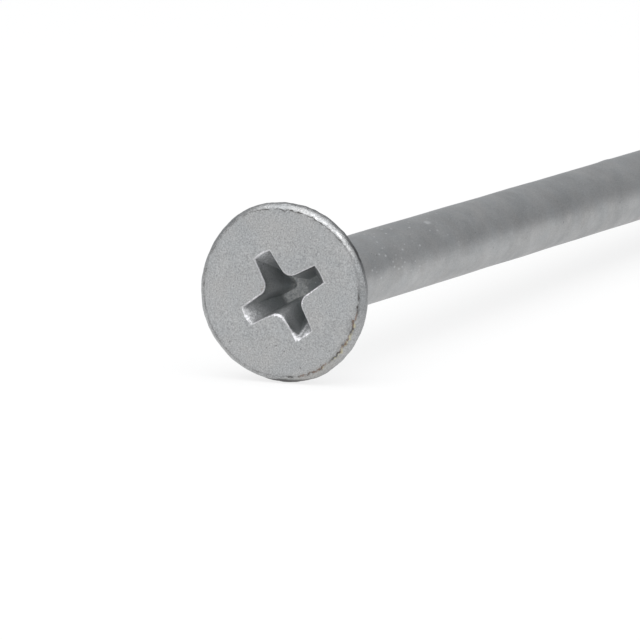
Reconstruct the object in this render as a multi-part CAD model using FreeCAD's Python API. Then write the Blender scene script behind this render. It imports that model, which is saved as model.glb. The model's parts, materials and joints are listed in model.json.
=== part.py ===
import FreeCAD, Part
import math
import os

# Countersunk wood screw, 5 x 120 mm, of galvanised steel wire, with a cross recess.
# The screw is one piece. The head is upset from the wire and the cross is punched into it,
# the first half of the shank stays plain, and a coarse wood thread is rolled on the far half,
# down to a gimlet point that pulls itself into the wood.
# It is modelled upright, with the flat of the head at height 0 and the point straight below,
# and is then laid on the surface z = 0 with its head towards +X, where it rests on the rim of
# its head and on the crest of its thread.
# Lengths are in millimetres and angles in degrees.

# Head
head_diameter = 10.0        # across the widest part of the rim
face_inset = 0.38           # from the widest part of the rim in to the edge of the flat face
rim_height = 0.5            # from the flat face down to the widest part of the rim
rim_land = 0.1              # straight band under the widest part of the rim
countersink_angle = 90.0    # included angle of the cone that sinks into the wood
neck_fillet = 0.9           # hollow rounding where the cone runs into the shank

# Shank
screw_length = 120.0        # from the flat face to the tip
shank_diameter = 4.04       # plain wire between head and thread
neck_swelling = 0.05        # by which upsetting leaves the wire thicker just under the head
neck_taper_length = 20.0    # over which the wire comes down from the neck to the shank

# Cross recess
recess_span = 5.2           # from the end of one wing to the end of the opposite wing
recess_wall_depth = 2.72    # to where the end walls of the wings meet the conical bottom
recess_floor_slope = 28.0   # angle between the conical bottom and the flat face
wing_width = 1.08           # across a wing, at its end
wing_widening = 5.0         # angle by which each flank opens towards the centre
wing_draft = 5.0            # angle by which each flank closes in towards the bottom
wing_end_slope = 26.5       # angle between the end wall of a wing and the axis
web_rounding = 0.6          # radius of the corner between two wings, at the face
recess_turn = 31.0          # how far the cross is turned from the side that lies on the surface

# Wood thread
thread_diameter = 5.0       # over the crests
core_diameter = 3.5         # between the crests
thread_pitch = 2.5          # from crest to crest
thread_length = 60.0        # room for the thread, back from the tip, of which it takes whole turns
thread_run_out = 3.0        # length over which the wire narrows to the core and the thread rises
thread_flank_angle = 60.0   # included angle between the two sides of the sharp ridge

# Gimlet point
point_length = 8.5          # from the end of the full core to the tip
tip_diameter = 0.3          # blunt end of the point
thread_end_gap = 0.9        # from the end of the thread to the tip

AXIS = FreeCAD.Vector(0, 0, 1)

# Points in each turn through which the lines of the thread are drawn
STATIONS_PER_TURN = 8

head_radius = head_diameter / 2
face_radius = head_radius - face_inset
shank_radius = shank_diameter / 2
neck_radius = shank_radius + neck_swelling / 2
core_radius = core_diameter / 2
thread_radius = thread_diameter / 2
point_start = screw_length - point_length
thread_end = screw_length - thread_end_gap
thread_turns = int((thread_length - thread_end_gap) // thread_pitch)
thread_start = thread_end - thread_turns * thread_pitch
mouth_radius = recess_span / 2
floor_radius = mouth_radius - recess_wall_depth * math.tan(math.radians(wing_end_slope))
recess_depth = recess_wall_depth + floor_radius * math.tan(math.radians(recess_floor_slope))


def upright(radius, depth, turn=0.0):
    """A point of the upright screw at this radius and depth below the face, turned by an angle in radians."""
    return FreeCAD.Vector(radius * math.cos(turn), radius * math.sin(turn), -depth)


def radius_along(stations, depth):
    """The radius at a depth, going straight from one (depth, radius) station to the next."""
    for (near, near_radius), (far, far_radius) in zip(stations, stations[1:]):
        if depth <= far:
            share = (depth - near) / (far - near)
            return near_radius + share * (far_radius - near_radius)
    return stations[-1][1]


def wire_radius(depth):
    """The radius of the bare wire at a depth: it narrows to the core, and from the point's start to the tip."""
    stations = [
        (thread_start, shank_radius),
        (thread_start + thread_run_out, core_radius),
        (point_start, core_radius),
        (screw_length, tip_diameter / 2),
    ]
    return radius_along(stations, depth)


def crest_radius(depth):
    """The radius of the thread's crest at a depth: it rises out of the wire and sinks into the point."""
    stations = [
        (thread_start, shank_radius),
        (thread_start + thread_run_out, thread_radius),
        (point_start, thread_radius),
        (thread_end, wire_radius(thread_end)),
    ]
    return radius_along(stations, depth)


def thread_angle(depth):
    """Where the right-handed thread is in its turn, in radians. At the point's start its crest is underneath."""
    return 2 * math.pi * (point_start - depth) / thread_pitch


def turned(outline):
    """The faces that an outline sweeps in one turn round the axis, from the side where the thread starts."""
    wire = Part.Wire([curve.toShape() for curve in outline])
    wire.rotate(upright(0, 0), AXIS, math.degrees(thread_angle(thread_start)))
    return wire.revolve(upright(0, 0), AXIS, 360).Faces


def lines_between(corners):
    """Straight lines from each corner to the next."""
    return [Part.LineSegment(start, end) for start, end in zip(corners, corners[1:])]


def head_outline():
    """The head: a flat face, a rounded rim, a narrow land, the cone, and the hollow down to the neck."""
    rim_radius = (face_inset ** 2 + rim_height ** 2) / (2 * face_inset)
    rim_angle = math.asin(rim_height / rim_radius)
    rim_middle = upright(
        head_radius - rim_radius + rim_radius * math.cos(rim_angle / 2),
        rim_height - rim_radius * math.sin(rim_angle / 2),
    )
    face_edge = upright(face_radius, 0)
    widest = upright(head_radius, rim_height)
    land_foot = upright(head_radius, rim_height + rim_land)
    half_cone = math.radians(countersink_angle / 2)
    neck_depth = rim_height + rim_land + (head_radius - neck_radius) / math.tan(half_cone)
    tangent_length = neck_fillet * math.tan(half_cone / 2)
    fillet_start = upright(
        neck_radius + tangent_length * math.sin(half_cone),
        neck_depth - tangent_length * math.cos(half_cone),
    )
    fillet_middle = upright(
        neck_radius + neck_fillet * (1 - math.cos(half_cone / 2)),
        neck_depth + tangent_length - neck_fillet * math.sin(half_cone / 2),
    )
    fillet_end = upright(neck_radius, neck_depth + tangent_length)
    outline = [
        Part.LineSegment(upright(0, 0), face_edge),
        Part.Arc(face_edge, rim_middle, widest),
        Part.LineSegment(widest, land_foot),
        Part.LineSegment(land_foot, fillet_start),
        Part.Arc(fillet_start, fillet_middle, fillet_end),
    ]
    return outline, neck_depth + tangent_length


def head_and_shank():
    """The turned faces from the flat of the head to the start of the thread."""
    outline, neck_end = head_outline()
    corners = [
        upright(neck_radius, neck_end),
        upright(shank_radius, neck_end + neck_taper_length),
        upright(shank_radius, thread_start),
    ]
    return turned(outline + lines_between(corners))


def point_tip():
    """The turned faces from the end of the thread to the tip."""
    corners = [
        upright(wire_radius(thread_end), thread_end),
        upright(tip_diameter / 2, screw_length),
        upright(0, screw_length),
    ]
    return turned(lines_between(corners))


def thread_line(side):
    """A line along the thread: its foot towards the head (-1), its crest (0) or its foot towards the point (1)."""
    lean = math.tan(math.radians(thread_flank_angle / 2))
    points = []
    turns = []
    for station in range(thread_turns * STATIONS_PER_TURN + 1):
        turn = station / STATIONS_PER_TURN
        middle = thread_start + thread_pitch * turn
        foot = middle + side * lean * (crest_radius(middle) - wire_radius(middle))
        radius = wire_radius(foot) if side else crest_radius(middle)
        points.append(upright(radius, foot, thread_angle(middle)))
        turns.append(turn)
    curve = Part.BSplineCurve()
    curve.interpolate(Points=points, Parameters=turns)
    return curve


def half_turn(line, start):
    """The half turn of a thread line that begins after this many turns."""
    piece = line.copy()
    piece.segment(start, start + 0.5)
    return piece


def half_ring(depth, start):
    """Half of the circle round the bare wire at a depth, beginning after this part of a turn."""
    angles = [thread_angle(thread_start) - 2 * math.pi * (start + step) for step in (0, 0.25, 0.5)]
    return Part.Arc(*[upright(wire_radius(depth), depth, angle) for angle in angles]).toBSpline()


def rolled_thread():
    """The faces of the thread, in half turns: two flanks, and the bare wire between one turn and the next."""
    upper_foot = thread_line(-1)
    crest = thread_line(0)
    lower_foot = thread_line(1)
    strips = []
    for start in (half / 2 for half in range(2 * thread_turns)):
        strips.append((half_turn(upper_foot, start), half_turn(crest, start)))
        strips.append((half_turn(crest, start), half_turn(lower_foot, start)))
        if start < thread_turns - 1:
            strips.append((half_turn(lower_foot, start), half_turn(upper_foot, start + 1)))
    for start in (0, 0.5):
        strips.append((half_ring(thread_start, start), half_turn(upper_foot, start)))
        strips.append((half_turn(lower_foot, thread_turns - 1 + start), half_ring(thread_end, start)))
    return [near.makeRuledSurface(far).toShape() for near, far in strips]


def screw_blank():
    """The screw before the cross is punched: head, shank, thread and point, closed into one solid."""
    skin = Part.Compound(head_and_shank() + rolled_thread() + point_tip())
    skin.sewShape()
    blank = Part.Solid(skin.Shells[0])
    if blank.Volume < 0:
        blank.reverse()
    return blank


def cross_outline(depth):
    """The outline of the cross at a depth: four wings, and a rounded web between each two of them."""
    half_width = wing_width / 2 - depth * math.tan(math.radians(wing_draft))
    widening = math.radians(wing_widening)
    end_radius = mouth_radius - depth * math.tan(math.radians(wing_end_slope))
    corner = (half_width + end_radius * math.tan(widening)) / (1 + math.tan(widening))
    reach = mouth_radius + wing_width
    reach_half_width = corner - (reach - corner) * math.tan(widening)
    rounding = web_rounding * half_width / (wing_width / 2)
    half_web_angle = math.pi / 4 + widening
    tangent_length = rounding / math.tan(half_web_angle)
    tangent_out = corner + tangent_length * math.cos(widening)
    tangent_side = corner - tangent_length * math.sin(widening)
    web_tip = corner + rounding * (1 / math.sin(half_web_angle) - 1) / math.sqrt(2)
    edges = []
    for wing in range(4):
        turn = math.radians(recess_turn + 90 * wing)

        def at(along, across):
            return upright(math.hypot(along, across), depth, turn + math.atan2(across, along))

        edges.append(Part.LineSegment(at(reach, -reach_half_width), at(reach, reach_half_width)))
        edges.append(Part.LineSegment(at(reach, reach_half_width), at(tangent_out, tangent_side)))
        edges.append(Part.Arc(at(tangent_out, tangent_side), at(web_tip, web_tip), at(tangent_side, tangent_out)))
        edges.append(Part.LineSegment(at(tangent_side, tangent_out), at(reach_half_width, reach)))
    return Part.Wire([edge.toShape() for edge in edges])


def cross_recess():
    """The punched cross: a tapering cross, trimmed to the cone of the wing ends and the conical bottom."""
    cross = Part.makeLoft([cross_outline(0), cross_outline(recess_depth)], True, True)
    corners = [
        upright(0, 0),
        upright(mouth_radius, 0),
        upright(floor_radius, recess_wall_depth),
        upright(0, recess_depth),
    ]
    punch_outline = Part.Face(Part.makePolygon(corners + corners[:1]))
    punch = punch_outline.revolve(upright(0, 0), AXIS, 360)
    return cross.common(punch)


def laid_down(screw):
    """Lay the screw on z = 0, on its rim and the last full crest, and centre it over the origin."""
    tilt = math.atan2(head_radius - thread_radius, point_start - rim_height)
    lowest = rim_height * math.sin(tilt) + head_radius * math.cos(tilt)
    middle = (face_radius * math.sin(tilt) - screw_length * math.cos(tilt)) / 2
    turn = FreeCAD.Rotation(FreeCAD.Vector(0, 1, 0), 90 - math.degrees(tilt))
    placed = screw.copy()
    placed.Placement = FreeCAD.Placement(FreeCAD.Vector(-middle, 0, lowest), turn)
    return placed


def wood_screw():
    """The whole screw, as it lies on the surface."""
    return laid_down(screw_blank().cut(cross_recess()))


os.makedirs("parts", exist_ok=True)
screw = wood_screw()
screw.exportStep("parts/wood_screw.step")
print("solids", len(screw.Solids), "faces", len(screw.Faces), "valid", screw.isValid())
print("volume", round(screw.Volume, 1), "mm3, recess depth", round(recess_depth, 2), "mm")
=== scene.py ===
# %% [markdown]
# # A countersunk wood screw in galvanised steel
# The CAD model gives the screw its real size. This script gives it its looks: one closed skin, worked out
# with numpy, that stands for the CAD node and carries the small things that a punched, rolled and
# galvanised screw has. It is in metres, and the screw lies on the floor z = 0 with its head towards +X.

# %% Load the frame
import json

import bmesh
import bpy
import numpy as np
from mathutils import Matrix, Vector


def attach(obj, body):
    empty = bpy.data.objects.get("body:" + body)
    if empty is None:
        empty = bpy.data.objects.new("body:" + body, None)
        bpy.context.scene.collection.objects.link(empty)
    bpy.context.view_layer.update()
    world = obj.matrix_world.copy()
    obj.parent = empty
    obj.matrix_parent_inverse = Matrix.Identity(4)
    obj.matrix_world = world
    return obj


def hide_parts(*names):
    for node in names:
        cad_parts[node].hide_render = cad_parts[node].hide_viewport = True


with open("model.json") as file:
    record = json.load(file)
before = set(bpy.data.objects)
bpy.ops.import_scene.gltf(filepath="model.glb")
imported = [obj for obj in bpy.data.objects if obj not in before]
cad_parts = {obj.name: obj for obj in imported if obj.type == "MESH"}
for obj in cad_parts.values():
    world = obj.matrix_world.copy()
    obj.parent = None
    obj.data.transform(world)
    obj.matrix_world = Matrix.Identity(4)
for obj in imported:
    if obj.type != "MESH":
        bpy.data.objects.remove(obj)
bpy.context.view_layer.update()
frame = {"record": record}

MM = 0.001

# %% [markdown]
# ## Where the screw is
# The screw lies tilted: its head is wider than its thread, so its axis dips towards the point. The record's
# drive recess mount gives the middle of the flat face and the direction out of it. From these come three
# directions of the screw's own: along the axis, to the side, and lift, which is up but square to the axis.
# A point of the screw is then a radius, an angle round the axis and a depth below the face, which keeps the
# formulas short.

# %% The screw's own directions
MOUNT = {mount["name"]: mount for mount in frame["record"]["mounts"]}["drive_recess"]
FACE = np.array(MOUNT["pos_m"])
AXIS = np.array(MOUNT["axis"])
AXIS = AXIS / np.linalg.norm(AXIS)
SIDE = np.array([0.0, 1.0, 0.0])
LIFT = np.cross(AXIS, SIDE)


def place(radius, angle, depth):
    """Face middle, less depth along the axis, plus radius times (cos angle to the side + sin angle of lift).

    radius and depth are in millimetres and angle in radians. The result has x, y, z in metres last.
    """
    out = np.cos(angle)[..., None] * SIDE + np.sin(angle)[..., None] * LIFT
    return FACE + MM * (radius[..., None] * out - depth[..., None] * AXIS)


print("the axis dips by", round(float(np.degrees(np.arcsin(AXIS[2]))), 2), "degrees")

# %% [markdown]
# ## The sizes
# These are the CAD model's own sizes, written again because this script can't read its source.

# %% Sizes in millimetres
LENGTH = 120.0
HEAD_RADIUS = 5.0
RIM_HEIGHT = 0.5
RIM_LAND = 0.1
NECK_RADIUS = 2.045
NECK_FILLET = 0.9
SHANK_RADIUS = 2.02
NECK_TAPER = 20.0
CORE_RADIUS = 1.75
CREST_RADIUS = 2.5
PITCH = 2.5
TURNS = 23
RUN_OUT = 3.0
POINT_LENGTH = 8.5
TIP_RADIUS = 0.15
THREAD_END = LENGTH - 0.9
THREAD_START = THREAD_END - TURNS * PITCH
POINT_START = LENGTH - POINT_LENGTH
FLANK = np.tan(np.radians(30.0))
print("head, shank and crests across, mm:", 2 * HEAD_RADIUS, 2 * SHANK_RADIUS, 2 * CREST_RADIUS)

# %% [markdown]
# ## Unevenness
# Zinc that has been dipped or tumbled on is never perfectly smooth: the coat swells and thins by a few
# thousandths of a millimetre. A sum of sine waves that run in random directions gives that, and as it is a
# formula of the place alone, neighbouring grids agree where they meet.
#
# A nick or a worn edge is a hump, a smooth bump at one angle round the axis, and what goes on all the way
# round is a ripple, a few waves that close on themselves.

# %% Soft unevenness, humps and ripples
def unevenness(points, size, seed, waves=40):
    """Sum over waves of sin(direction . point * 2 pi / wavelength + phase), scaled to a spread of about 1.

    points are in metres, size is the usual wavelength in millimetres, and directions are random.
    """
    draw = np.random.default_rng(seed)
    direction = draw.normal(size=(waves, 3))
    direction /= np.linalg.norm(direction, axis=1)[:, None]
    wavelength = size * MM * draw.uniform(0.7, 1.5, waves)
    phase = draw.uniform(0, 2 * np.pi, waves)
    total = np.zeros(points.shape[:-1])
    for way, length, start in zip(direction, wavelength, phase):
        total += np.sin(points @ way * (2 * np.pi / length) + start)
    return total * np.sqrt(2 / waves)


def hump(angle, centre, width):
    """A smooth bump of height 1 at centre, both in degrees, falling as exp(-(distance / width)^2)."""
    off = (np.degrees(angle) - centre + 180) % 360 - 180
    return np.exp(-((off / width) ** 2))


def humps(angle, bumps):
    """The sum of several humps, each given as its height, its centre and its width."""
    return sum(height * hump(angle, centre, width) for height, centre, width in bumps)


def ripple(angle, orders, seed):
    """Sum of sin(order * angle + phase) over the orders, scaled to a spread of about 1, for a closed ring."""
    phases = np.random.default_rng(seed).uniform(0, 2 * np.pi, len(orders))
    waves = [np.sin(order * angle + phase) for order, phase in zip(orders, phases)]
    return np.sum(waves, axis=0) * np.sqrt(2 / len(orders))


print("unevenness at the face:", round(float(unevenness(FACE, 8.0, seed=3)), 2))

# %% [markdown]
# ## The cross recess
# A punch leaves four wings and, between them, four rounded webs. Seen along the axis, the outline is the
# distance to the wall at each angle: on a wing's end the radius of the turned punch, on a flank where the ray
# meets a straight line, and on a web where it meets the near side of a circle. All three shrink with depth,
# so one function of angle and depth is the wall.
#
# The punch never hits the middle exactly: here it sits 0.15 mm off. Its mouth is rounded over by the coat
# and by drivers, so the walls start a little inside the sharp outline of the CAD model.

# %% The wall of the recess
RECESS_TURN = np.radians(31.0)
MOUTH_RADIUS = 2.54
WALL_DEPTH = 2.72
END_SLOPE = np.tan(np.radians(26.5))
FLOOR_SLOPE = np.tan(np.radians(28.0))
WING_HALF = 0.505
WIDENING = np.radians(4.5)
DRAFT = np.tan(np.radians(5.0))
WEB_ROUNDING = 0.64
LEAST_ROUNDING = 0.02
RECESS_DEPTH = WALL_DEPTH + (MOUTH_RADIUS - WALL_DEPTH * END_SLOPE) * FLOOR_SLOPE
PUNCH_OFF = 0.125 * SIDE - 0.075 * LIFT


def wall_radius(angle, depth, outward=0.0):
    """Distance from the punch's axis to the recess wall at an angle and a depth, moved outward by a distance.

    With a the angle from the nearest wing, b that from the nearest diagonal, t the flanks' widening and
    (c, c) the corner where two flanks would meet:
    End: the punch's radius. Flank: c (1 + tan t) / (sin a + tan t cos a).
    Web: m cos b - sqrt(q^2 - m^2 sin^2 b), with q the web's rounding and m the distance to its centre.
    """
    from_wing = np.abs((angle - RECESS_TURN + np.pi / 4) % (np.pi / 2) - np.pi / 4)
    half = WING_HALF - depth * DRAFT
    rounding = np.maximum(WEB_ROUNDING * half / WING_HALF - outward, LEAST_ROUNDING)
    end = MOUTH_RADIUS - depth * END_SLOPE + outward
    half = half + outward
    widen = np.tan(WIDENING)
    corner = (half + end * widen) / (1 + widen)
    half_web = np.pi / 4 + WIDENING
    middle = np.sqrt(2) * corner + rounding / np.sin(half_web)
    off = np.pi / 4 - from_wing
    flank = corner * (1 + widen) / (np.sin(from_wing) + widen * np.cos(from_wing))
    root = np.sqrt(np.maximum(rounding ** 2 - (middle * np.sin(off)) ** 2, 0))
    web = middle * np.cos(off) - root
    tangent = rounding / np.tan(half_web)
    tangent_angle = np.arctan2(corner - tangent * np.sin(WIDENING), corner + tangent * np.cos(WIDENING))
    side = np.where(from_wing > tangent_angle, web, flank)
    return np.minimum(end, side)


angles = RECESS_TURN + np.radians([0.0, 20.0, 45.0])
print("wall at wing, flank and web, mm:", np.round(wall_radius(angles, np.zeros(3)), 2))

# %% [markdown]
# ## The thread
# A rolled thread is a ridge of wedge section that climbs round the core. At each angle the crests lie one
# pitch apart, so the height of the ridge at a depth is the crest's height less the distance to the nearest
# crest over the slope of the flank, and never below the wire. The ridge grows out of the shank over its
# run-out and sinks into the point with the core, which narrows to the tip.

# %% Radius of wire and thread
WIRE_DEPTHS = [THREAD_START, THREAD_START + RUN_OUT, POINT_START, LENGTH]
WIRE_RADII = [SHANK_RADIUS, CORE_RADIUS, CORE_RADIUS, TIP_RADIUS]
CREST_BLUNT = 0.02


def wire_radius(depth):
    """Straight lines between the shank, the core and the tip."""
    return np.interp(depth, WIRE_DEPTHS, WIRE_RADII)


def crest_radius(depth):
    """Straight lines from the wire at the thread's start, along the full crest, to the wire at its end."""
    depths = WIRE_DEPTHS[:3] + [THREAD_END]
    return np.interp(depth, depths, [SHANK_RADIUS, CREST_RADIUS, CREST_RADIUS, wire_radius(THREAD_END)])


def thread_radius(angle, depth):
    """The wire, or the nearest crest less its distance over the flank's slope, whichever stands higher."""
    to_crest = POINT_START - PITCH * (angle / (2 * np.pi) + 0.25)
    turn = np.round((depth - to_crest) / PITCH)
    middle = to_crest + turn * PITCH
    inside = (middle >= THREAD_START - 1e-6) & (middle <= THREAD_END + 1e-6)
    ridge = crest_radius(middle) - np.maximum(np.abs(depth - middle) / FLANK, CREST_BLUNT)
    wire = wire_radius(depth)
    return np.where(inside, np.maximum(wire, ridge), wire)


print("crest and core, mm:", crest_radius(90.0), wire_radius(90.0))

# %% [markdown]
# ## Grids
# The skin is a few grids of points that share their borders. The head has 576 columns round the axis, so
# that the corners of the recess stay crisp, and the shank and the thread have 96, which is enough for a
# round bar. Every sixth column of the head is a column of the shank, so the two meet without a gap. All
# columns start where the thread starts and turn with it, clockwise when seen from the head.

# %% Columns and faces
HEAD_COLUMNS = 576
SHANK_COLUMNS = 96
START_ANGLE = 2 * np.pi * (POINT_START - THREAD_START) / PITCH - np.pi / 2


def columns(count, closed=False):
    """Angles from the thread's start in even steps, clockwise; closed repeats the first at the end."""
    return START_ANGLE - 2 * np.pi * np.arange(count + closed) / count


def grid_faces(rows, count, first, closed):
    """Quads of a grid, numbered row by row from first; closed joins the last column to the first."""
    row, column = np.meshgrid(np.arange(rows - 1), np.arange(count - (not closed)), indexing="ij")
    here = first + row * count + column
    beside = first + row * count + (column + 1) % count
    return np.stack([here, here + count, beside + count, beside], axis=-1).reshape(-1, 4)


print("columns of head and shank:", HEAD_COLUMNS, SHANK_COLUMNS)

# %% [markdown]
# ## Uneven edges of the head
# The head is upset in a die and then tumbled, so its rim isn't quite round and the edge of its flat face
# wanders and has nicks. Towards the lower right the edge has folded over into a fine crack, where rust
# starts. Drivers have worn the mouth of the recess, most at the lower left and at the bottom. All of this
# is written as humps, with angles in degrees, 0 to the side +Y and 90 upwards, as seen from in front.

# %% Rim, edge, crack, mouth and painted rim shade by angle
RIM_BUMPS = [(0.05, 115, 16), (0.06, 200, 14), (0.055, 294, 12), (-0.05, 152, 18), (-0.065, 250, 16)]
RIM_INSET = 0.012
EDGE_RADIUS = 4.65
EDGE_BUMPS = [(0.11, 30, 13), (0.11, 118, 15), (0.05, 292, 12)]
EDGE_NICKS = [(0.09, 88, 1.6), (0.05, 79, 3), (0.1, 344, 3), (0.03, 334, 9), (0.05, 64, 1.5)]
OPEN_CRACK = [(1.0, 350, 13), (1.0, 322, 24), (0.7, 286, 16)]
FAINT_CRACK = [(0.4, 75, 32), (-0.25, 20, 16)]
WORN_ENDS = [(1.0, 211, 10), (1.3, 290, 5), (0.4, 121, 12)]
WORN_WEBS = [(1.0, 256, 20), (0.6, 346, 14), (0.65, 10, 11), (0.3, 76, 12), (0.55, 188, 10)]
# Angles where the rim gets a painted shade: its dark outlines, and its contact shadow at the bottom.
RIM_SHADE_BUMPS = [(0.8, 29, 13), (0.25, 66, 26), (1.3, 272, 19), (0.3, 240, 20), (0.3, 140, 18)]


def rim_swell(angle):
    """How far the widest part of the rim stands out from a true circle, in millimetres."""
    return humps(angle, RIM_BUMPS) - RIM_INSET


def smooth_edge(angle):
    """The radius of the face's edge without its nicks, in millimetres."""
    return EDGE_RADIUS + humps(angle, EDGE_BUMPS)


def face_edge(angle):
    """The radius of the face's edge, in millimetres, with its nicks and its fine wandering."""
    rough = 0.012 + 0.016 * hump(angle, 325, 35)
    wandering = rough * ripple(angle, (23, 37, 58, 71, 97), seed=11)
    return smooth_edge(angle) - humps(angle, EDGE_NICKS) + wandering


def crack_strength(angle):
    """How open the folded edge is: 1 along the lower right, faint elsewhere, in short broken lengths."""
    opened = np.minimum(humps(angle, OPEN_CRACK), 1)
    faint = 0.35 + humps(angle, FAINT_CRACK)
    uneven = 0.95 + 0.35 * ripple(angle, (17, 29, 43, 61), seed=12)
    return np.clip((0.9 * opened + faint * (1 - opened)) * uneven, 0, 1)


def driver_wear(angle):
    """How worn the mouth of the recess is: about 1 on the worst wing ends and on the web between them."""
    worn = humps(angle, WORN_ENDS + WORN_WEBS)
    return np.clip(worn * (1 + 0.2 * ripple(angle, (31, 47, 66, 89), seed=13)), 0, 1.3)


def mouth_rounding(angle):
    """Radius of the rounded mouth of the recess, in millimetres: larger where it is worn."""
    return 0.055 + 0.05 * driver_wear(angle)


def rim_shade_strength(angle):
    """How strong the rim's painted shade is: most at the upper right, and at the bottom, where it lies on the
    floor.
    """
    return 0.12 + humps(angle, RIM_SHADE_BUMPS)


head_angle = columns(HEAD_COLUMNS)
print("the rim is out of round by, mm:", round(float(np.ptp(rim_swell(head_angle))), 3))

# %% [markdown]
# ## The recess and its mouth
# The head is rows of rings from the middle of the recess out to the neck, and each row is a radius and a
# depth at every angle. The first rows are the conical bottom and the walls. The two meet where both have
# the same radius at the same depth, which a few rounds of putting one into the other find. The mouth is a
# quarter of a small circle.

# %% Rings of the recess
BOTTOM_SHARES = (0.12, 0.35, 0.6, 0.82, 0.95)
WALL_RINGS = 14
MOUTH_TURNS = np.radians([75.0, 60.0, 45.0, 30.0, 15.0, 0.0])


def recess_rows(angle):
    """Radius and depth of the rings from the bottom of the recess to the face.

    Bottom: depth = full depth - radius * slope. Mouth: a quarter circle of radius s, so that at its angle t
    from the face the ring lies s (1 - sin t) outside the wall, at depth s (1 - cos t).
    """
    soft = mouth_rounding(angle)
    foot_depth = np.full_like(angle, WALL_DEPTH)
    for _ in range(12):
        foot_depth = RECESS_DEPTH - wall_radius(angle, foot_depth) * FLOOR_SLOPE
    foot = wall_radius(angle, foot_depth)
    rows = [(foot * share, RECESS_DEPTH - foot * share * FLOOR_SLOPE) for share in BOTTOM_SHARES]
    for share in np.linspace(0, 1, WALL_RINGS):
        depth = foot_depth + (soft - foot_depth) * share
        rows.append((wall_radius(angle, depth), depth))
    for turn in MOUTH_TURNS:
        depth = soft * (1 - np.cos(turn))
        rows.append((wall_radius(angle, depth, soft * (1 - np.sin(turn))), depth))
    return rows


in_recess = recess_rows(head_angle)
print("rings of the recess:", len(in_recess))

# %% [markdown]
# ## The face and the rim
# Four rings of the flat face lie close round the mouth, so that its worn line stays thin, and the others are
# even shares of the way to the edge. There the crack is a groove of four rings. Then the rim bulges out to
# the full 10 mm, and follows the nicks of the edge only near the face.

# %% Rings of the face and the rim
NEAR_MOUTH = (0.02, 0.05, 0.1, 0.18)
FLAT_SHARES = np.linspace(0, 1, 14)[1:]
FLAT_BORDER = 0.09
CRACK_PROFILE = [(-0.05, 0.1), (-0.025, 0.8), (0.0, 1.0), (0.02, 0.7)]
CRACK_DEPTH = 0.035
RIM_STARTS = 0.04
RIM_STEPS = np.linspace(0, 1, 20) ** 1.3


def face_rows(angle, mouth):
    """The flat face: a few rings close round the mouth, even shares from there to its edge, and the crack."""
    edge = face_edge(angle)
    open_by = 0.006 + CRACK_DEPTH * crack_strength(angle)
    level = np.zeros_like(angle)
    inner = mouth + NEAR_MOUTH[-1]
    outer = edge - FLAT_BORDER
    rows = [(mouth + off, level) for off in NEAR_MOUTH]
    rows += [(inner + (outer - inner) * share, level) for share in FLAT_SHARES]
    rows += [(edge + off, share * open_by) for off, share in CRACK_PROFILE]
    return rows


def rim_rows(angle):
    """The rim: r = e (1 - t)^2 + w (2 t - t^2), depth = 2 k t (1 - t) + h t^2, with t from 0 to 1.

    e is the edge, w the widest radius, h the rim's height and k the depth towards which it starts.
    """
    nicked = face_edge(angle) + RIM_STARTS
    smooth = smooth_edge(angle) + RIM_STARTS
    widest = HEAD_RADIUS + rim_swell(angle)
    knee = 0.8 * (widest - smooth)
    lip = 0.25 * (0.008 + CRACK_DEPTH * crack_strength(angle))
    rows = []
    for t in RIM_STEPS:
        near_face = (1 - t) ** 12
        edge = smooth + (nicked - smooth) * near_face
        radius = edge * (1 - t) ** 2 + widest * (2 * t - t ** 2)
        rows.append((radius, 2 * knee * t * (1 - t) + RIM_HEIGHT * t ** 2 + lip * near_face))
    return rows


on_face = face_rows(head_angle, in_recess[-1][0])
on_rim = rim_rows(head_angle)
print("rings of face and rim:", len(on_face), len(on_rim))

# %% [markdown]
# ## Land, cone and neck
# Below the rim comes a narrow upright land, then the cone at 45 degrees to the axis, and then the hollow
# where the cone flows into the shank. That is an eighth of a circle which touches both.

# %% Rings of the cone
LAND_ROUNDING = 0.03
CONE_SHARES = np.linspace(0, 1, 9)[1:]
HOLLOW_TURNS = np.radians([33.75, 22.5, 11.25, 0.0])


def cone_rows(angle):
    """The land, the cone in even shares, and the neck's hollow, where r = n + f (1 - cos t)."""
    widest = HEAD_RADIUS + rim_swell(angle)
    land_end = RIM_HEIGHT + RIM_LAND
    neck_depth = land_end + HEAD_RADIUS - NECK_RADIUS
    tangent = NECK_FILLET * np.tan(np.pi / 8)
    hollow_radius = NECK_RADIUS + tangent * np.sqrt(0.5)
    hollow_depth = neck_depth - tangent * np.sqrt(0.5)
    cone_radius = widest - LAND_ROUNDING
    cone_depth = np.full_like(angle, land_end + LAND_ROUNDING)
    rows = [(widest, np.full_like(angle, land_end - LAND_ROUNDING)), (cone_radius, cone_depth)]
    for share in CONE_SHARES:
        radius = cone_radius + (hollow_radius - cone_radius) * share
        rows.append((radius, cone_depth + (hollow_depth - cone_depth) * share))
    for turn in HOLLOW_TURNS:
        radius = NECK_RADIUS + NECK_FILLET * (1 - np.cos(turn))
        depth = neck_depth + tangent - NECK_FILLET * np.sin(turn)
        rows.append((np.full_like(angle, radius), np.full_like(angle, depth)))
    return rows


head_rows = in_recess + on_face + on_rim + cone_rows(head_angle)
head_radius = np.array([row[0] for row in head_rows])
head_depth = np.array([row[1] for row in head_rows])
head_angles = np.broadcast_to(head_angle, head_radius.shape)
NECK_END = float(head_depth[-1, 0])
print("head rings:", len(head_rows), "neck ends at, mm:", round(NECK_END, 2))

# %% [markdown]
# ## Masks
# The finish needs to know where it is: on the rounded mouth, in the recess, on the crack, where rust sits.
# That is easy to say here, where every ring has a name, so it is worked out with the rows and stored on the
# skin as attributes, one number a point. First come the distances that all masks are made of.

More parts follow.
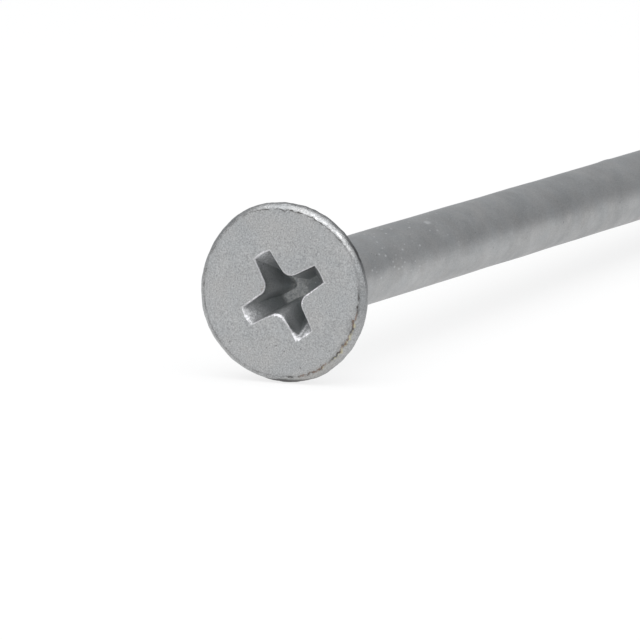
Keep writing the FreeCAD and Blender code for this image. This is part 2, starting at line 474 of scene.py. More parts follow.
# %% Where each point of the head is
row_number = np.arange(len(head_rows))[:, None]
past_mouth = row_number >= len(in_recess)
within = ~past_mouth
edge_distance = head_radius - face_edge(head_angle)
mouth_distance = head_radius - in_recess[-1][0]
on_flat = past_mouth & (head_depth < 0.05) & (edge_distance < 0.05)
rim_share = np.clip(edge_distance / 0.1, 0, 1) * past_mouth


def in_walls(fade, power=1):
    """1 at the recess's mouth, falling as exp(-(depth / fade)^power) down its walls, and 0 outside it."""
    return within * np.exp(-((head_depth / fade) ** power))


def on_edge(offset, width):
    """1 along a line this far outside the face's edge, falling as exp(-(distance / width)^2)."""
    return past_mouth * (head_depth < 0.4) * np.exp(-(((edge_distance - offset) / width) ** 2))


print("rings in the recess and outside it:", within.sum(), past_mouth.sum())

# %% [markdown]
# In the recess these are its rounded mouth, how deep a point is, which sets a painted shade that deepens
# downwards, the lines that drivers have burnished, with painted highlights on them, painted shade in the
# corners, a painted sheen on the bottom, and painted highlights down the wing ends. The rim has a painted
# highlight too, a broken streak at its upper right.

# %% Masks of the recess
# Angles where a painted shade darkens the recess's corners.
SHADED_WINGS = [(1.0, 295, 13), (0.75, 30, 20), (0.3, 150, 15)]
# Wing ends that get a painted highlight.
LIT_WING_ENDS = [(0.8, 211, 13), (1.0, 304, 9), (0.65, 121, 13)]
# Where the rim gets a painted highlight streak.
RIM_HIGHLIGHT_BUMPS = [(0.44, 64, 12), (0.44, 43, 14)]

mouth_line = on_flat * np.exp(-np.abs(mouth_distance) / 0.03) + in_walls(0.06)
# A painted highlight streak on the rim, broken up.
rim_highlight = on_edge(0.15, 0.06) * humps(head_angle, RIM_HIGHLIGHT_BUMPS)
rim_highlight = rim_highlight * (1 + 0.3 * ripple(head_angle, (19, 31, 53, 103), seed=14))
# How deep a point is, for the painted shade in the corners.
shade_depth = np.clip(head_depth / 0.9, 0, 1) * np.clip(3.5 - head_depth, 0, 1)
# A painted sheen that lightens the recess's bottom.
sheen_on_bottom = 0.65 * np.clip((head_depth - 2.5) / 0.2, 0, 1) * (1 - 0.85 * hump(head_angle, 10, 65))
# Painted highlights: on the lower web, and a streak down the bottom wing's end wall.
web_highlight = 0.8 * hump(head_angle, 264, 14) * in_walls(0.9)
off_end_wall_highlight = np.degrees(head_angle) % 360 - 289 - 10 * head_depth
end_wall_highlight = 2.5 * in_walls(1.5) * np.exp(-((off_end_wall_highlight / 2.6) ** 2))
# All painted highlights on the recess's walls.
wall_highlights = in_walls(1.05, 2) * humps(head_angle, LIT_WING_ENDS) + web_highlight + end_wall_highlight
head_masks = {
    "mouth": within * np.clip(1 - head_depth / 0.12, 0, 1) * (1 - 0.7 * hump(head_angle, 305, 8)),
    # painted shade that deepens down the recess
    "hollow": within * np.clip(head_depth / 2.2, 0, 1),
    # burnished lines at the mouth with painted highlights, and the painted highlight streak on the rim
    "burnish_and_highlight": mouth_line * driver_wear(head_angle) + rim_highlight,
    # painted shade in the corners of the recess
    "painted_shade": within * shade_depth * np.minimum(humps(head_angle, SHADED_WINGS), 1),
    # painted sheen on the bottom of the recess
    "sheen": within * sheen_on_bottom,
    # painted highlights on the wing ends and the lower web
    "wall_highlight": np.clip(wall_highlights, 0, 1),
}
print("masks of the recess:", len(head_masks))

# %% [markdown]
# Round the edge they are a painted shade on the rim, for its dark outlines and its contact shadow, which
# starts nearer the face at the bottom and at the upper right, the crack, rust and a yellow stain in a few
# spots, pits, and a thin brownish film at the lower right.

# %% Masks of the face's edge and the rim
# Angles where the painted shade on the rim starts nearer the face.
EARLY_RIM_SHADE = [(0.25, 272, 19), (0.12, 62, 30)]
RUST_SPOTS = [(1.0, 300, 7), (1.0, 326, 7), (1.0, 345, 6), (0.6, 286, 5)]
STAIN_SPOTS = [(1.0, 318, 6), (1.0, 331, 6), (1.0, 341, 4), (0.5, 305, 6)]

# The band of painted shade round the rim's widest part.
rim_shade_start = 0.29 - humps(head_angle, EARLY_RIM_SHADE)
rim_shade_band = np.clip((head_depth - rim_shade_start) / 0.1, 0, 1) * np.clip((1.2 - head_depth) / 0.5, 0, 1)
web_spot = 0.6 * hump(head_angle, 165, 9) * np.exp(-(((mouth_distance - 0.08) / 0.1) ** 2)) * on_flat
head_masks |= {
    # painted shade on the rim: dark outlines and a contact shadow at the bottom
    "rim_shade": past_mouth * rim_shade_band * rim_shade_strength(head_angle),
    "crack": crack_strength(head_angle) * on_edge(0, 0.06 + 0.03 * hump(head_angle, 335, 22)),
    "rust": on_edge(0, 0.08) * humps(head_angle, RUST_SPOTS) + web_spot,
    "stain": on_edge(0.06, 0.08) * humps(head_angle, STAIN_SPOTS),
    "pitting": on_edge(-0.1, 0.35) * (0.25 + 0.9 * hump(head_angle, 8, 24)),
    "film": 0.55 * on_edge(0.15, 0.3) * hump(head_angle, 300, 24),
}
print("masks:", ", ".join(head_masks))

# %% [markdown]
# ## Shank, thread and point
# The plain shank is a tube of rings. The thread needs rows that run along its crest, or the sharp ridge
# would look chewed. So its rows are helices: row i at the end of one turn is row i + 14 at the start of the
# next, because a turn has fourteen rows. Where the rings end and the helices begin, a wedge fills the gap:
# its rows fan out from a single point, and after one turn they stand fourteen rows apart. Another ends the
# last turn.

# %% Rows of the thread
ROWS_PER_TURN = 14
HALF_FOOT = (CREST_RADIUS - CORE_RADIUS) * FLANK
RISE = np.array([HALF_FOOT + 0.03, HALF_FOOT, HALF_FOOT - 0.03, 0.06, 0.012])
ROW_OFFSETS = np.concatenate([[-1.25, -0.98, -0.72], -RISE, RISE[::-1], [0.85]])
HELIX_START = THREAD_START + ROW_OFFSETS[0]
HELIX_ROWS = ROWS_PER_TURN * (TURNS - 1) + 12


def helix_offset(row):
    """Depth of a helix row's start below the first row: whole turns plus the row's place in its turn."""
    turn, place_in_turn = np.divmod(row, ROWS_PER_TURN)
    return turn * PITCH + ROW_OFFSETS[place_in_turn] - ROW_OFFSETS[0]


def threaded(start_offset):
    """Radii, angles and depths of rows that go once round, at this offset from the helices' start."""
    depth = HELIX_START + start_offset
    angle = np.broadcast_to(columns(SHANK_COLUMNS, closed=True), depth.shape)
    return thread_radius(angle, depth), angle, depth


share = np.arange(SHANK_COLUMNS + 1) / SHANK_COLUMNS
offsets = helix_offset(np.arange(HELIX_ROWS + 1))[:, None]
first = offsets[: ROWS_PER_TURN + 1]
last = offsets[-ROWS_PER_TURN - 1 :]
helix = threaded(offsets + PITCH * share)
first_wedge = threaded(first * share)
last_wedge = threaded(last[-1] + PITCH * share + (last - last[0]) * (1 - share))
print("helix rows:", len(helix[0]))

# %% [markdown]
# The shank's first ring stays a little below the neck's end, because very short triangles between the two
# would show as a dark line. The tip's last rings round it off.

# %% Rings of the shank and the tip
NECK_GAP = 0.3
SHANK_RINGS = 141


def rings(depth, radius):
    """Radii, angles and depths of rings of the shank's columns."""
    angle, depth = np.meshgrid(columns(SHANK_COLUMNS), depth)
    return np.broadcast_to(np.reshape(radius, (-1, 1)), depth.shape), angle, depth


shank_depth = np.linspace(NECK_END + NECK_GAP, HELIX_START, SHANK_RINGS)
taper = np.interp(shank_depth, [NECK_END, NECK_END + NECK_TAPER], [NECK_RADIUS, SHANK_RADIUS])
shank = rings(shank_depth, taper)
tip_start = HELIX_START + helix_offset(np.array(HELIX_ROWS)) + PITCH
tip_depth = np.array([tip_start, tip_start + 0.2, LENGTH - 0.1, LENGTH - 0.04, LENGTH - 0.01])
tip = rings(tip_depth, wire_radius(tip_depth) * np.array([1, 1, 1, 0.85, 0.5]))
print("rings of shank and tip:", len(shank[0]), len(tip[0]))

# %% [markdown]
# ## The coat
# Every point now gets the coat's unevenness along its radius or, on the flat face, along the axis. The
# waves are long and low on the shank, and shorter on the rim. The rim and the crests only ever lose a
# little, so the screw stays inside its real size. One low lump of zinc stands on the upper side of the
# shank, 50 mm below the face.

# %% Points of the coated screw
NUB_HEIGHT = 0.032
NUB_ANGLE = 108
NUB_DEPTH = 49.8
NUB_HALF_LENGTH = 0.6
CREST_LOSS = 0.01
RIM_LOSS = 0.014


def coated(radius, angle, depth):
    """Points in metres, with the coat's unevenness on the radius, only inwards on the crests and the tip."""
    points = place(radius, angle, depth)
    lumps = 0.006 * unevenness(points, 8.0, seed=3) + 0.001 * unevenness(points, 1.5, seed=5)
    nub_length = np.exp(-(((depth - NUB_DEPTH) / NUB_HALF_LENGTH) ** 2))
    lumps += NUB_HEIGHT * hump(angle, NUB_ANGLE, 16) * nub_length
    on_shank = np.clip((THREAD_START - depth) / 2, 0, 1)
    crest = np.clip(lumps * 0.4, -CREST_LOSS, CREST_LOSS) - CREST_LOSS
    rising = np.clip((depth - NECK_END) / 1.5, 0, 1) * np.clip(radius, 0, 1)
    return place(radius + rising * (lumps * on_shank + crest * (1 - on_shank)), angle, depth)


def coated_head():
    """Points of the head: uneven along the axis on the face and along the radius on the rim.

    The punch's offset is full in the recess and fades to nothing across the face.
    """
    points = place(head_radius, head_angles, head_depth)
    lumps = 0.0035 * unevenness(points, 1.8, seed=3) + 0.0015 * unevenness(points, 0.6, seed=5)
    lumps = np.clip(lumps, -CREST_LOSS, CREST_LOSS)
    rim_lumps = 0.007 * unevenness(points, 0.9, seed=7) + 0.004 * unevenness(points, 0.35, seed=8)
    rim_lumps = np.clip(rim_lumps, -RIM_LOSS, RIM_LOSS) - RIM_LOSS
    ring = rim_share * np.clip((NECK_END - head_depth) / 2.5, 0, 1)
    flat = np.where(past_mouth, 1 - rim_share, np.clip(1 - head_depth / 0.2, 0, 1))
    placed = place(head_radius + rim_lumps * ring, head_angles, head_depth + (CREST_LOSS - lumps) * flat)
    first_even = len(in_recess) + len(NEAR_MOUTH)
    punch_share = np.zeros(len(head_rows))
    punch_share[:first_even] = 1
    punch_share[first_even : first_even + len(FLAT_SHARES)] = 1 - FLAT_SHARES
    return placed + MM * punch_share[:, None, None] * PUNCH_OFF


grids = [
    (coated_head(), True),
    (coated(*shank), True),
    (coated(*first_wedge), False),
    (coated(*helix), False),
    (coated(*last_wedge), False),
    (coated(*tip), True),
]
points = []
faces = []
count = 0
for grid, closed in grids:
    faces.append(grid_faces(grid.shape[0], grid.shape[1], count, closed))
    points.append(grid.reshape(-1, 3))
    count += grid.shape[0] * grid.shape[1]
print("points:", count, "quads:", sum(len(quads) for quads in faces))

# %% [markdown]
# ## Closing the skin
# Three gaps are left: the middle of the recess, the step from 576 columns to 96 at the neck, and the tip.
# The middle and the tip are fans of triangles round one point. At the neck, each stretch of the coarse
# ring meets six stretches of the fine one, so a fan of triangles fills it.

# %% Fans and neck
def fan(centre, ring):
    """Triangles from one point to each stretch of a closed ring."""
    return np.stack([np.full_like(ring, centre), ring, np.roll(ring, -1)], axis=-1)


ends = place(np.zeros(2), np.zeros(2), np.array([RECESS_DEPTH, LENGTH]))
ends[0] += MM * PUNCH_OFF
head_count = head_radius.size
step = HEAD_COLUMNS // SHANK_COLUMNS
fine = np.arange(HEAD_COLUMNS) + head_count - HEAD_COLUMNS
next_fine = np.roll(fine, -1)
coarse = np.arange(SHANK_COLUMNS) + head_count
triangles = [
    fan(count, np.arange(HEAD_COLUMNS)),
    fan(count + 1, np.arange(SHANK_COLUMNS) + count - SHANK_COLUMNS)[:, ::-1],
    np.stack([fine, np.repeat(coarse, step), next_fine], axis=-1),
    np.stack([next_fine[step - 1 :: step], coarse, np.roll(coarse, -1)], axis=-1),
]
points.append(ends)
print("triangles of fans and neck:", sum(len(group) for group in triangles))

# %% [markdown]
# Points that lie on each other along the borders are merged. The signed volume shows whether the faces point
# outwards, and in a closed skin every edge has two faces.

# %% The skin
def into_scene(name, data):
    """A new object with this data, in the scene."""
    thing = bpy.data.objects.new(name, data)
    bpy.context.collection.objects.link(thing)
    return thing


def make_skin(name):
    """One mesh of all points, quads and triangles, with its masks, merged along borders, faces outwards."""
    mesh = bpy.data.meshes.new(name)
    corners = [row.tolist() for group in faces + triangles for row in group]
    mesh.from_pydata(np.concatenate(points).tolist(), [], corners)
    for mask, values in head_masks.items():
        every = np.zeros(len(mesh.vertices))
        every[:head_count] = np.broadcast_to(values, head_radius.shape).ravel()
        every[count] = values[0, 0]
        mesh.attributes.new(mask, "FLOAT", "POINT").data.foreach_set("value", every)
    skin = bmesh.new()
    skin.from_mesh(mesh)
    bmesh.ops.remove_doubles(skin, verts=skin.verts, dist=2e-7)
    bmesh.ops.dissolve_degenerate(skin, edges=skin.edges, dist=1e-8)
    if skin.calc_volume(signed=True) < 0:
        bmesh.ops.reverse_faces(skin, faces=skin.faces)
    open_edges = sum(1 for edge in skin.edges if len(edge.link_faces) != 2)
    print(name, "volume, mm3:", round(skin.calc_volume() / MM ** 3, 1), "open edges:", open_edges)
    skin.to_mesh(mesh)
    skin.free()
    mesh.shade_smooth()
    return into_scene(name, mesh)


screw = make_skin("galvanised_screw")
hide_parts("wood_screw")
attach(screw, "root")
print("triangles:", sum(len(face.vertices) - 2 for face in screw.data.polygons))

# %% [markdown]
# ## Building node trees
# Short helpers keep the trees readable. The first adds a node and fills its inputs: a number or a colour is
# set on the socket, and another node's output is linked to it. The others add what is used most.

# %% Node helpers
def add(tree, kind, inputs, **settings):
    """A new ShaderNode of a kind, with its settings and inputs: values, or the outputs of other nodes."""
    node = tree.nodes.new("ShaderNode" + kind)
    for name, value in settings.items():
        setattr(node, name, value)
    for socket, value in inputs.items():
        if isinstance(value, bpy.types.NodeSocket):
            tree.links.new(value, node.inputs[socket])
        else:
            node.inputs[socket].default_value = value
    return node


def mix(tree, share, first, second):
    """first where share is 0, second where it is 1."""
    return add(tree, "Mix", {0: share, 6: first, 7: second}, data_type="RGBA").outputs[2]


def maths(tree, operation, first, second, clamp=False):
    """One operation on two numbers."""
    return add(tree, "Math", {0: first, 1: second}, operation=operation, use_clamp=clamp).outputs[0]


def times(tree, first, second, clamp=False):
    """The product of two numbers."""
    return maths(tree, "MULTIPLY", first, second, clamp)


def ramp(tree, value, low, high, to_low=0.0, to_high=1.0):
    """A value taken from the range low to high to another range, and held at its ends."""
    inputs = {"Value": value, "From Min": low, "From Max": high, "To Min": to_low, "To Max": to_high}
    return add(tree, "MapRange", inputs).outputs["Result"]


def noise(tree, place_mm, size, detail=2.0, roughness=0.5):
    """Smooth noise whose blotches are about this many millimetres across."""
    inputs = {"Vector": place_mm, "Scale": 1.0 / size, "Detail": detail, "Roughness": roughness}
    return add(tree, "TexNoise", inputs).outputs["Fac"]


print("helpers: add, mix, maths, times, ramp, noise")

# %% [markdown]
# A node group is a small tree of its own with named inputs and outputs, which is built once and then stands
# in a material as one node. Two more helpers make one and put it to use.

# %% Node group helpers
NUMBER = "NodeSocketFloat"
COLOUR = "NodeSocketColor"
VECTOR = "NodeSocketVector"


def group(name, inputs, outputs):
    """An empty node group with named inputs and outputs, the sockets of its inputs, and its output node."""
    tree = bpy.data.node_groups.new(name, "ShaderNodeTree")
    for way, sockets in (("INPUT", inputs), ("OUTPUT", outputs)):
        for label, kind in sockets.items():
            tree.interface.new_socket(name=label, in_out=way, socket_type=kind)
    return tree, tree.nodes.new("NodeGroupInput").outputs, tree.nodes.new("NodeGroupOutput")


def use(tree, group_tree, inputs):
    """A node that runs a group with these inputs."""
    return add(tree, "Group", inputs, node_tree=group_tree)


print("helpers: group, use")

# %% [markdown]
# ## Zinc grain
# Close up, a galvanised coat is a crust of crystals less than a tenth of a millimetre across. Each is tilted
# a little, so some flash and some stay dark. The group gives both signs of that: a grain value that lightens
# and darkens the colour, and a normal that tilts from grain to grain and, in longer waves, where the coat
# has run.

# %% Node group for the grain
WAVE_LENGTH = 3.0
BUMP_HEIGHT = 0.03 * MM
grain, grain_in, grain_out = group(
    "zinc_grain",
    {"Place": VECTOR, "Grain size": NUMBER, "Relief": NUMBER, "Waviness": NUMBER},
    {"Grain": NUMBER, "Normal": VECTOR},
)
grain_place = grain_in["Place"]
fineness = maths(grain, "DIVIDE", 1.0, grain_in["Grain size"])
crystal_inputs = {"Vector": grain_place, "Scale": fineness, "Detail": 3.0, "Roughness": 0.6}
crystals = add(grain, "TexNoise", crystal_inputs).outputs["Fac"]
cells = add(grain, "TexVoronoi", {"Vector": grain_place, "Scale": fineness})
crust = maths(grain, "ADD", crystals, times(grain, cells.outputs["Distance"], 0.35))
runs = times(grain, noise(grain, grain_place, WAVE_LENGTH, 1.5), grain_in["Waviness"])
height = maths(grain, "ADD", times(grain, crust, grain_in["Relief"]), runs)
bump = add(grain, "Bump", {"Strength": 1.0, "Distance": BUMP_HEIGHT, "Height": height})
grain.links.new(crystals, grain_out.inputs["Grain"])
grain.links.new(bump.outputs["Normal"], grain_out.inputs["Normal"])
print("zinc_grain:", len(grain.nodes), "nodes")

# %% [markdown]
# ## Coat colour
# Over larger distances the coat drifts between a warmer and a cooler grey, where it is thicker or has
# begun to dull. The group mixes the two greys in soft blotches, and the grain, wider clouds and a shade that
# the material gives lighten and darken the result.

# %% Node group for the coat's colour
coat, coat_in, coat_out = group(
    "zinc_colour",
    {"Place": VECTOR, "Warm": COLOUR, "Cool": COLOUR}
    | {name: NUMBER for name in ("Grain", "Grain amount", "Cloudiness", "Shade")},
    {"Colour": COLOUR},
)
coat_place = coat_in["Place"]
blotches = ramp(coat, noise(coat, coat_place, 1.6, 4.0, 0.6), 0.35, 0.65)
greys = mix(coat, blotches, coat_in["Warm"], coat_in["Cool"])
lightness = times(coat, maths(coat, "SUBTRACT", coat_in["Grain"], 0.5), coat_in["Grain amount"])
clouds = maths(coat, "SUBTRACT", noise(coat, coat_place, 2.4, 4.0, 0.55), 0.5)
patches = times(coat, clouds, coat_in["Cloudiness"])
factor = maths(coat, "ADD", maths(coat, "ADD", lightness, patches), coat_in["Shade"])
colour = add(coat, "VectorMath", {0: greys, "Scale": factor}, operation="SCALE")
coat.links.new(colour.outputs[0], coat_out.inputs["Colour"])
print("zinc_colour:", len(coat.nodes), "nodes")

# %% [markdown]
# ## Specks
# Small bright specks of zinc dust stick to the coat, mostly just under the head, and small dark pits are
# scattered over it. Both are the same thing, a few round dots: Voronoi cells give each dot its place, the
# cell's random colour picks some of the cells and sets the dot's size, and the distance to the cell's middle
# makes it round.

# %% Node group for dots
dots, dots_in, dots_out = group(
    "scattered_dots",
    {"Place": VECTOR, "Spacing": NUMBER, "Radius": NUMBER, "Share": NUMBER},
    {"Mask": NUMBER},
)
density = maths(dots, "DIVIDE", 1.0, dots_in["Spacing"])
cells = add(dots, "TexVoronoi", {"Vector": dots_in["Place"], "Scale": density})
pick = add(dots, "SeparateColor", {"Color": cells.outputs["Color"]})
chosen = maths(dots, "LESS_THAN", pick.outputs[0], dots_in["Share"])
size = times(dots, dots_in["Radius"], ramp(dots, pick.outputs[1], 0.0, 1.0, 0.4, 1.2))
from_middle = maths(dots, "DIVIDE", cells.outputs["Distance"], size)
nearness = maths(dots, "SUBTRACT", 1.0, from_middle, clamp=True)
dots.links.new(times(dots, chosen, times(dots, nearness, 2.0, clamp=True)), dots_out.inputs["Mask"])
print("scattered_dots:", len(dots.nodes), "nodes")

# %% [markdown]
# ## The finish
# The coat is a metal: it has no colour under it, only a tinted, blurred reflection, and the shader's base
# colour is that tint. What has happened to the coat, with the shade and highlights painted on it, is a list
# of layers, each a share and a colour, mixed over it in order. Wear and rust never have a clean edge, so most
# masks are first broken up by a fine noise.

# %% The material, its place and its masks
zinc = bpy.data.materials.new("galvanised_zinc")
zinc.use_nodes = True
tree = zinc.node_tree
shader = tree.nodes["Principled BSDF"]
position = add(tree, "TexCoord", {}).outputs["Object"]
place_mm = add(tree, "VectorMath", {0: position, "Scale": 1.0 / MM}, operation="SCALE").outputs[0]
mask = {name: add(tree, "Attribute", {}, attribute_name=name).outputs["Fac"] for name in head_masks}
patchy = noise(tree, place_mm, 0.12, 3.0, 0.6)


def broken(name, low, high, least=0.0, most=1.0):
    """A mask times a number that goes from least to most while the fine noise goes from low to high."""
    return times(tree, mask[name], ramp(tree, patchy, low, high, least, most))


print("the material reads:", ", ".join(mask))

# %% [markdown]
# The shank and the head aren't finished alike. The head is struck, and its grain is strong. The shank is
# drawn wire: its grain is weak and stretched to twice its size along the bar, and its coat is wavy and
# cloudy, with painted shade below and painted light along its top. Every value goes from one to the other
# at the neck.

# %% The plain coat
UNDER_HEAD = 57.0
SQUEEZE = 0.5
WARM_GREY = (0.412, 0.413, 0.413, 1)
COOL_GREY = (0.388, 0.398, 0.405, 1)
parts = add(tree, "SeparateXYZ", {0: place_mm})
along = parts.outputs["X"]
up = parts.outputs["Z"]
on_head = ramp(tree, along, UNDER_HEAD - 1.0, UNDER_HEAD + 0.5)


def by_part(shank_value, head_value):
    """The first value on the shank and the second on the head."""
    return ramp(tree, on_head, 0.0, 1.0, shank_value, head_value)


squeezed = times(tree, maths(tree, "SUBTRACT", along, UNDER_HEAD), by_part(SQUEEZE, 1.0))
drawn_parts = {0: maths(tree, "ADD", squeezed, UNDER_HEAD), 1: parts.outputs["Y"], 2: up}
drawn_place = add(tree, "CombineXYZ", drawn_parts).outputs[0]
grain_values = {"Grain size": 0.085, "Relief": by_part(0.3, 0.75), "Waviness": by_part(7.0, 0.0)}
grained = use(tree, grain, {"Place": drawn_place, **grain_values})
# Painted shade on the shank's lower side and painted light along its top.
painted_shade_below = ramp(tree, up, 2.7, 4.0, 0.93, 1.03)
painted_light_above = ramp(tree, up, 5.2, 6.6, 0.0, 0.08)
coat_values = {
    "Place": place_mm,
    "Warm": WARM_GREY,
    "Cool": COOL_GREY,
    "Grain": grained.outputs["Grain"],
    "Grain amount": by_part(0.55, 1.45),
    "Cloudiness": by_part(0.5, 0.12),
    "Shade": by_part(maths(tree, "ADD", painted_shade_below, painted_light_above), 0.985),
}
tint = use(tree, coat, coat_values).outputs["Colour"]
print("nodes so far:", len(tree.nodes))

# %% [markdown]
# Inside the recess a painted shade darkens the coat more the deeper it goes, and more painted shade darkens
# the corners. A painted sheen lightens the bottom, and painted highlights turn the wing ends nearly white.

# %% Inside the recess
layers = {
    # painted shade, darker the deeper in the recess
    "painted shade in the recess": (times(tree, mask["hollow"], 0.6), (0.36, 0.385, 0.395, 1)),
    # painted shade in the corners
    "painted_shade": (times(tree, mask["painted_shade"], 0.6), (0.16, 0.175, 0.18, 1)),
    # painted sheen that lightens the bottom
    "painted sheen on the bottom": (broken("sheen", 0.35, 0.62), (0.8, 0.8, 0.78, 1)),
    # painted highlights that turn the wing ends nearly white
    "wall_highlights": (broken("wall_highlight", 0.38, 0.6, 0.2, 1.0), (0.95, 0.95, 0.97, 1)),
}
print("layers:", len(layers))

# %% [markdown]
# The mouth is worn to a lighter grey and burnished in lines, which carry painted highlights and are brighter
# and also smoother, and so is the painted highlight streak on the rim. Round its widest part the rim has a
# painted shade, nearly black, and at the lower right it has a thin brownish film.

# %% Wear, painted highlights, painted rim shade and film
wear = ramp(tree, broken("mouth", 0.3, 0.6, 0.5, 1.0), 0.2, 0.9)
# Burnished lines and painted highlights: lighter and smoother.
burnish_and_highlight = ramp(tree, broken("burnish_and_highlight", 0.3, 0.6, 0.4, 1.2), 0.3, 0.8)
layers |= {
    "wear": (wear, (0.54, 0.54, 0.55, 1)),
    # burnished lines with painted highlights, and the rim's painted highlight streak
    "burnish_and_highlight": (burnish_and_highlight, (0.85, 0.85, 0.87, 1)),
    # painted shade on the rim, nearly black
    "rim_shade": (broken("rim_shade", 0.3, 0.5, 0.6, 1.0), (0.07, 0.07, 0.072, 1)),
    "film": (broken("film", 0.35, 0.6, 0.3, 0.8), (0.44, 0.42, 0.38, 1)),
}
print("layers:", len(layers))

# %% [markdown]
# The crack is dark. Brown rust sits in it, and beside it the zinc is stained yellow in larger blotches.

# %% Crack, rust and stain
rust = ramp(tree, broken("rust", 0.42, 0.6), 0.1, 0.6, 0.0, 0.8)
stain_noise = ramp(tree, noise(tree, place_mm, 0.2), 0.42, 0.62)
stain = ramp(tree, times(tree, mask["stain"], stain_noise), 0.1, 0.7, 0.0, 0.6)
layers |= {
    "crack": (broken("crack", 0.3, 0.55, 0.3, 1.0), (0.075, 0.07, 0.065, 1)),
    "rust": (rust, (0.23, 0.15, 0.11, 1)),
    "stain": (stain, (0.56, 0.52, 0.34, 1)),
}
print("layers:", len(layers))

# %% [markdown]
# Zinc dust sits on the shank's upper side, thickest just under the head, and one large speck has a place of
# its own. The pits are few everywhere and more on the right edge of the face. With these the layers are
# complete, and a loop lays them over the coat.

# %% Specks and pits
speck_dots = {"Place": drawn_place, "Spacing": 0.3, "Radius": 0.27, "Share": 0.6}
near_head = times(tree, ramp(tree, along, 34.0, 44.0), ramp(tree, along, UNDER_HEAD + 1.0, UNDER_HEAD))
dusty = times(tree, near_head, ramp(tree, up, 4.2, 5.5, 0.15, 1.0))
dust = times(tree, use(tree, dots, speck_dots).outputs["Mask"], dusty)
speck = place(np.full(1, SHANK_RADIUS), np.radians([65.0]), np.full(1, 18.7))[0] / MM
speck[0] = (speck[0] - UNDER_HEAD) * SQUEEZE + UNDER_HEAD
to_speck = add(tree, "VectorMath", {0: drawn_place, 1: tuple(speck)}, operation="DISTANCE")
round_speck = ramp(tree, to_speck.outputs["Value"], 0.22, 0.1)
large_speck = times(tree, round_speck, ramp(tree, patchy, 0.35, 0.55, 0.4, 1.0))
pit_share = ramp(tree, mask["pitting"], 0.0, 1.0, 0.025, 0.2)
pit_dots = {"Place": place_mm, "Spacing": 0.25, "Radius": 0.25, "Share": pit_share}
pits = times(tree, use(tree, dots, pit_dots).outputs["Mask"], 0.6)
layers["specks"] = (maths(tree, "MAXIMUM", dust, large_speck), (0.64, 0.65, 0.66, 1))
layers["pits"] = (pits, (0.12, 0.12, 0.12, 1))
for share, layer_colour in layers.values():
    tint = mix(tree, share, tint, layer_colour)
print("layers:", ", ".join(layers))

# %% [markdown]
# Rust and stain are no metal and are rough, so they lower the metallic value and raise the roughness. The
# walls of the recess are part metal and part matt, because the zinc there is dull, and most under the painted
# highlights and the painted sheen. Worn and burnished zinc, with the painted highlights on it, is smoother
# than the rest.

# %% Metal, roughness and the shader
WORN_ROUGHNESS = 0.28
dull = maths(tree, "MAXIMUM", rust, stain)
# The walls are matt under the painted highlights and the painted sheen.
matt_under_highlights = times(tree, maths(tree, "MAXIMUM", mask["wall_highlight"], mask["sheen"]), 0.75)
inside = maths(tree, "MAXIMUM", ramp(tree, mask["hollow"], 0.02, 0.3, 0.0, 0.45), matt_under_highlights)
metallic = maths(tree, "SUBTRACT", 1.0, maths(tree, "MAXIMUM", dull, inside))
uneven_coat = ramp(tree, noise(tree, place_mm, 0.9, 3.0), 0.3, 0.7, -0.05, 0.05)
coat_roughness = maths(tree, "ADD", by_part(0.45, 0.39), uneven_coat)
rubbed_roughness = ramp(tree, maths(tree, "MAXIMUM", wear, burnish_and_highlight), 0.0, 1.0, coat_roughness, WORN_ROUGHNESS)
tree.links.new(tint, shader.inputs["Base Color"])
tree.links.new(metallic, shader.inputs["Metallic"])
tree.links.new(maths(tree, "ADD", rubbed_roughness, times(tree, dull, 0.4)), shader.inputs["Roughness"])
tree.links.new(grained.outputs["Normal"], shader.inputs["Normal"])
screw.data.materials.append(zinc)
print(zinc.name, "has", len(tree.nodes), "nodes")

# %% [markdown]
# ## Paper
# The screw lies on white paper. Light that made matt paper white would burn out the screw, so the paper
# glows for the camera and in reflections. Near the screw the glow is mixed with a matt surface that takes
# the shadow, and far away the camera sees the glow alone.
#
# A dull metal shows what stands round it: the lower half of the shank mirrors the paper and the upper half
# the grey room. In reflections the paper greys a little beside the screw, on the side that the camera sees,
# and this sets where the shank's soft light edge lies.

# %% Floor
FLOOR_REACH = 12.0
PAPER_WHITE = (0.88, 0.88, 0.88, 1)
PAPER_GREYED = (0.4, 0.4, 0.41, 1)
WHITE_NEAR = 0.78
corners = [(x * FLOOR_REACH, y * FLOOR_REACH, 0) for x, y in ((-1, -1), (1, -1), (1, 1), (-1, 1))]
floor_mesh = bpy.data.meshes.new("floor")
floor_mesh.from_pydata(corners, [], [(0, 1, 2, 3)])
floor = into_scene("floor", floor_mesh)

paper = bpy.data.materials.new("white_paper")
paper.use_nodes = True
tree = paper.node_tree
matt = add(tree, "BsdfDiffuse", {"Color": PAPER_WHITE})
spot = add(tree, "TexCoord", {}).outputs["Object"]
beside = add(tree, "SeparateXYZ", {0: spot}).outputs["Y"]
away = add(tree, "VectorMath", {0: spot}, operation="LENGTH").outputs["Value"]
path = add(tree, "LightPath", {}).outputs
seen = times(tree, path["Is Camera Ray"], ramp(tree, away, 0.12, 0.3, WHITE_NEAR, 1.0))
mirrored = times(tree, path["Is Glossy Ray"], WHITE_NEAR)
greyed = times(tree, path["Is Glossy Ray"], ramp(tree, beside, 0.006, 0.045))
white = mix(tree, greyed, (1, 1, 1, 1), PAPER_GREYED)
glow = add(tree, "Emission", {"Color": white, "Strength": 1.0})
glow_share = maths(tree, "MAXIMUM", seen, mirrored)
surface = add(tree, "MixShader", {0: glow_share, 1: matt.outputs[0], 2: glow.outputs[0]})
tree.links.new(surface.outputs[0], tree.nodes["Material Output"].inputs["Surface"])
floor_mesh.materials.append(paper)
print("floor, m:", 2 * FLOOR_REACH, "paper nodes:", len(tree.nodes))

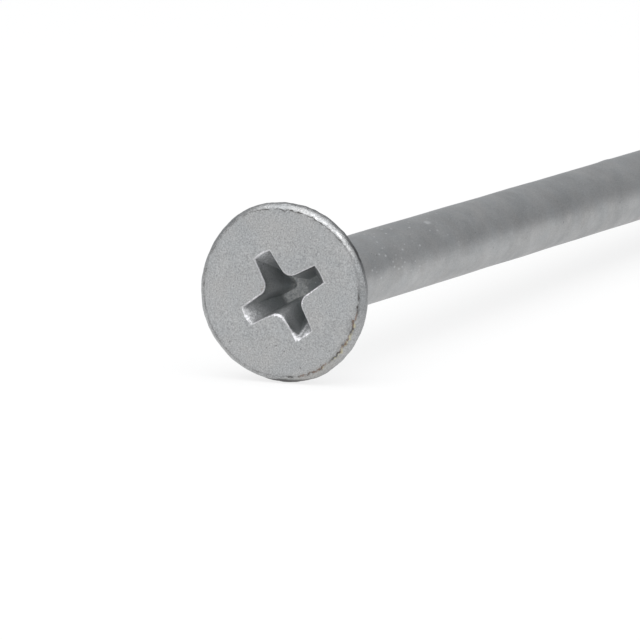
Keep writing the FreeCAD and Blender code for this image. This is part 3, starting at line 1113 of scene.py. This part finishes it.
# %% [markdown]
# ## Room
# The world has two backgrounds. The camera sees white, as in the photo, and everything else, light and
# reflections, comes from an even mid grey that stands for the room.

# %% World
ROOM_GREY = (0.455, 0.462, 0.47, 1)
world = bpy.data.worlds.new("studio")
bpy.context.scene.world = world
world.use_nodes = True
tree = world.node_tree
room = tree.nodes["Background"]
room.inputs["Color"].default_value = ROOM_GREY
backdrop = add(tree, "Background", {"Color": (1, 1, 1, 1), "Strength": 1.0})
camera_ray = add(tree, "LightPath", {}).outputs["Is Camera Ray"]
shown = add(tree, "MixShader", {0: camera_ray, 1: room.outputs[0], 2: backdrop.outputs[0]})
tree.links.new(shown.outputs[0], tree.nodes["World Output"].inputs["Surface"])
print("room grey:", ROOM_GREY[:3])

# %% [markdown]
# ## Lamps
# Three softboxes do the rest, large and near, so that their shadows are soft. The one overhead gives the rim
# its bright streak, the one in front reaches into the recess, and the one at the side lights the shank.

# %% Softboxes
def softbox(name, direction, distance, size, brightness):
    """A square area lamp in this direction from the head, aimed at it.

    brightness is its own, where white paper in full light has 1; power = brightness * pi * area.
    """
    way = Vector(direction).normalized()
    lamp = bpy.data.lights.new(name, "AREA")
    lamp.size = size
    lamp.energy = brightness * np.pi * size ** 2
    box = into_scene(name, lamp)
    box.location = Vector(FACE) + way * distance
    box.rotation_euler = way.to_track_quat("Z", "Y").to_euler()
    print(name, "power, W:", round(lamp.energy, 2))


softbox("overhead_softbox", (0.27, 0.05, 0.9), 0.6, 1.0, 1.6)
softbox("front_softbox", (0.85, -0.5, 0.3), 0.9, 0.6, 0.9)
softbox("side_softbox", (0.0, 1.0, 0.52), 1.0, 0.7, 1.0)

# %% [markdown]
# ## Camera
# The photo was taken through a long lens from half a metre away, in front of the head and a little to its
# side and above. The head's ellipse gives the direction, and how fast the shank narrows the distance. The
# lens is written in pixels of the picture, as it was measured, and so is the place of the face's middle. To
# put it there the camera isn't turned but moved, sideways and up.

# %% Camera
FOCAL_PIXELS = 8784.0
PICTURE_PIXELS = 640
FACE_PIXEL = (280.84, 293.36)
CAMERA_AWAY = 0.4827
ELEVATION = np.radians(9.19)
AZIMUTH = np.radians(113.46)
level = np.array([np.sin(AZIMUTH), -np.cos(AZIMUTH), 0.0])
back = np.cos(ELEVATION) * level + np.sin(ELEVATION) * np.array([0.0, 0.0, 1.0])
right = np.array([np.cos(AZIMUTH), np.sin(AZIMUTH), 0.0])
above = np.cross(back, right)
aside, down = (np.array(FACE_PIXEL) - PICTURE_PIXELS / 2) / FOCAL_PIXELS * CAMERA_AWAY
eye = FACE + back * CAMERA_AWAY - right * aside + above * down
lens = bpy.data.cameras.new("camera")
lens.sensor_width = 36.0
lens.lens = FOCAL_PIXELS * lens.sensor_width / PICTURE_PIXELS
lens.clip_start = 0.01
camera = into_scene("camera", lens)
turn = Matrix((right, above, back)).transposed()
camera.matrix_world = Matrix.Translation(Vector(eye)) @ turn.to_4x4()
bpy.context.scene.camera = camera
bpy.context.scene.view_settings.view_transform = "Standard"
print("lens, mm:", round(lens.lens, 1), "camera at", np.round(eye, 3))
